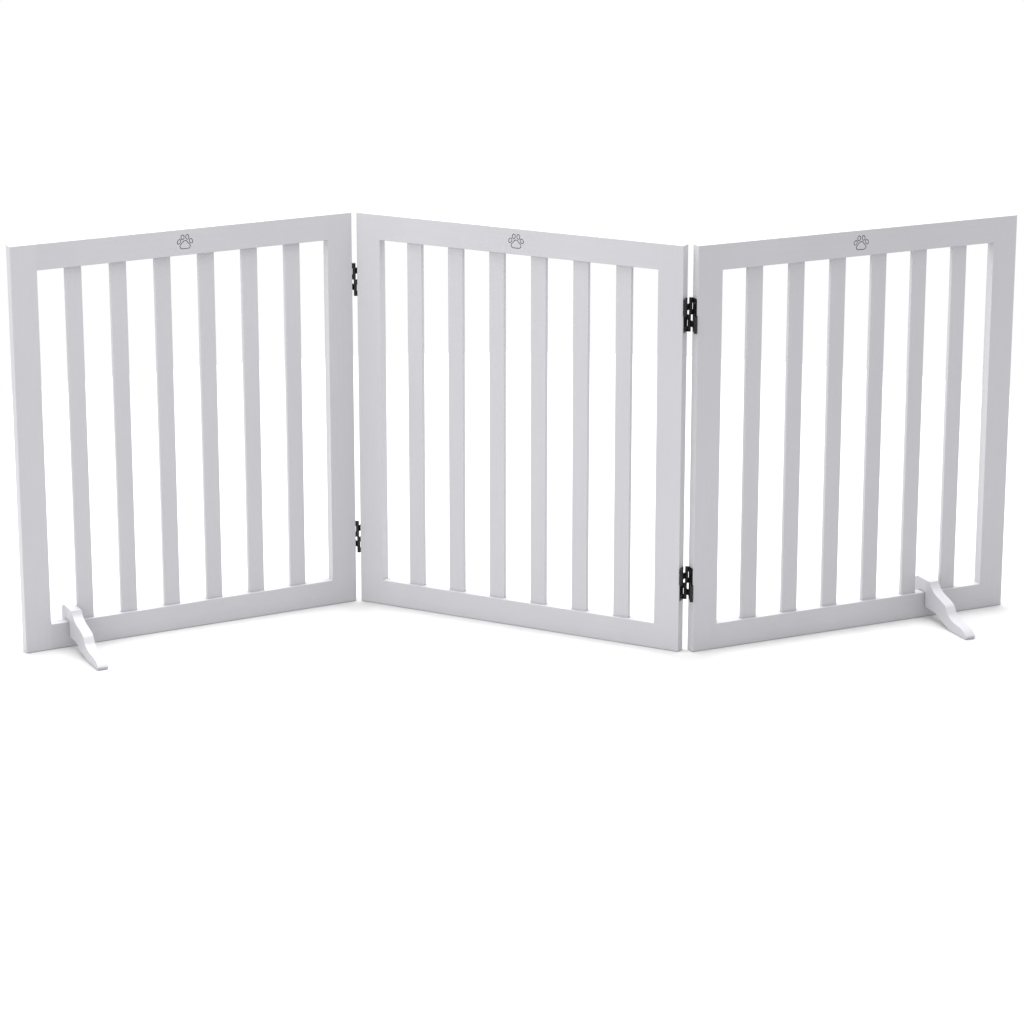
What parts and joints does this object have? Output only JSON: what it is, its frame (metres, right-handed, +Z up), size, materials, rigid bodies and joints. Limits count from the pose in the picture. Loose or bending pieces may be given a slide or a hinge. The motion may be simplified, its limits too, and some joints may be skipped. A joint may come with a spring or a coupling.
{
  "type": "folding pet gate",
  "caption": "Free-standing folding pet gate: slatted wooden panels joined by reversible crossed-link hinges, with hook-over support feet on the bottom rails.",
  "frame": {"origin": "middle of the middle panel's bottom face, on the floor", "axes": "+Z up, +X along the middle panel towards the right panel, -Y out of the middle panel's front face"},
  "size_m": [1.2374, 0.8822, 0.61],
  "materials": {
    "painted_wood": "satin cool off-white paint over smooth wood",
    "black_steel": "semi-gloss black coated sheet steel",
    "pin_steel": "dark oxide steel pin",
    "screw_steel": "bright zinc-plated steel",
    "bare_wood": "bare beech dowel"
  },
  "bodies": {
    "middle_panel": {"middle_stile_l": "painted_wood", "middle_stile_r": "painted_wood", "middle_rail_bottom": "painted_wood", "middle_rail_top": "painted_wood", "middle_slat_1": "painted_wood", "middle_slat_2": "painted_wood", "middle_slat_3": "painted_wood", "middle_slat_4": "painted_wood", "middle_slat_5": "painted_wood", "middle_slat_6": "painted_wood", "middle_dowels": "bare_wood", "middle_hinge_pins": "pin_steel", "middle_hinge_screws": "screw_steel", "middle_leaf_l_low": "black_steel", "middle_leaf_l_high": "black_steel", "middle_leaf_r_low": "black_steel", "middle_leaf_r_high": "black_steel"},
    "left_panel": {"left_stile_l": "painted_wood", "left_stile_r": "painted_wood", "left_rail_bottom": "painted_wood", "left_rail_top": "painted_wood", "left_slat_1": "painted_wood", "left_slat_2": "painted_wood", "left_slat_3": "painted_wood", "left_slat_4": "painted_wood", "left_slat_5": "painted_wood", "left_slat_6": "painted_wood", "left_dowels": "bare_wood", "left_hinge_pins": "pin_steel", "left_hinge_screws": "screw_steel", "left_leaf_low": "black_steel", "left_leaf_high": "black_steel"},
    "right_panel": {"right_stile_l": "painted_wood", "right_stile_r": "painted_wood", "right_rail_bottom": "painted_wood", "right_rail_top": "painted_wood", "right_slat_1": "painted_wood", "right_slat_2": "painted_wood", "right_slat_3": "painted_wood", "right_slat_4": "painted_wood", "right_slat_5": "painted_wood", "right_slat_6": "painted_wood", "right_dowels": "bare_wood", "right_hinge_pins": "pin_steel", "right_hinge_screws": "screw_steel", "right_leaf_low": "black_steel", "right_leaf_high": "black_steel"},
    "left_lower_links": {"left_link_lower_low": "black_steel", "left_link_lower_high": "black_steel"},
    "left_upper_links": {"left_link_upper_low": "black_steel", "left_link_upper_high": "black_steel"},
    "right_upper_links": {"right_link_upper_low": "black_steel", "right_link_upper_high": "black_steel"},
    "right_lower_links": {"right_link_lower_low": "black_steel", "right_link_lower_high": "black_steel"},
    "left_foot": {"left_foot": "painted_wood"},
    "right_foot": {"right_foot": "painted_wood"}
  },
  "joints": [
    {"name": "left_fold", "type": "hinge", "parent": "middle_panel", "child": "left_panel", "pos_m": [-0.27047, -0.00791, 0.305], "axis": [0, 0, 1], "range_deg": [-18.5, 101]},
    {"name": "left_lower_link_swing", "type": "hinge", "parent": "middle_panel", "child": "left_lower_links", "pos_m": [-0.2696, -0.0078, 0.305], "axis": [0, 0, 1], "range_deg": [-18, 97]},
    {"name": "left_upper_link_swing", "type": "hinge", "parent": "middle_panel", "child": "left_upper_links", "pos_m": [-0.2696, 0.0078, 0.305], "axis": [0, 0, 1], "range_deg": [-1, 5]},
    {"name": "right_fold", "type": "hinge", "parent": "middle_panel", "child": "right_panel", "pos_m": [0.27051, 0.00797, 0.305], "axis": [0, 0, 1], "range_deg": [-15.5, 114]},
    {"name": "right_lower_link_swing", "type": "hinge", "parent": "middle_panel", "child": "right_lower_links", "pos_m": [0.2696, 0.0078, 0.305], "axis": [0, 0, 1], "range_deg": [-15, 109]},
    {"name": "right_upper_link_swing", "type": "hinge", "parent": "middle_panel", "child": "right_upper_links", "pos_m": [0.2696, -0.0078, 0.305], "axis": [0, 0, 1], "range_deg": [-1, 5.5]},
    {"name": "left_foot_lift", "type": "slide", "parent": "left_panel", "child": "left_foot", "axis": [0, 0, 1], "range_m": [0, 0.07]},
    {"name": "right_foot_lift", "type": "slide", "parent": "right_panel", "child": "right_foot", "axis": [0, 0, 1], "range_m": [0, 0.07]}
  ],
  "couplings": [
    {"joint": "left_lower_link_swing", "follows": "left_fold", "ratio": 0.9538},
    {"joint": "left_upper_link_swing", "follows": "left_fold", "ratio": 0.0461},
    {"joint": "right_lower_link_swing", "follows": "right_fold", "ratio": 0.9512},
    {"joint": "right_upper_link_swing", "follows": "right_fold", "ratio": 0.0455}
  ]
}
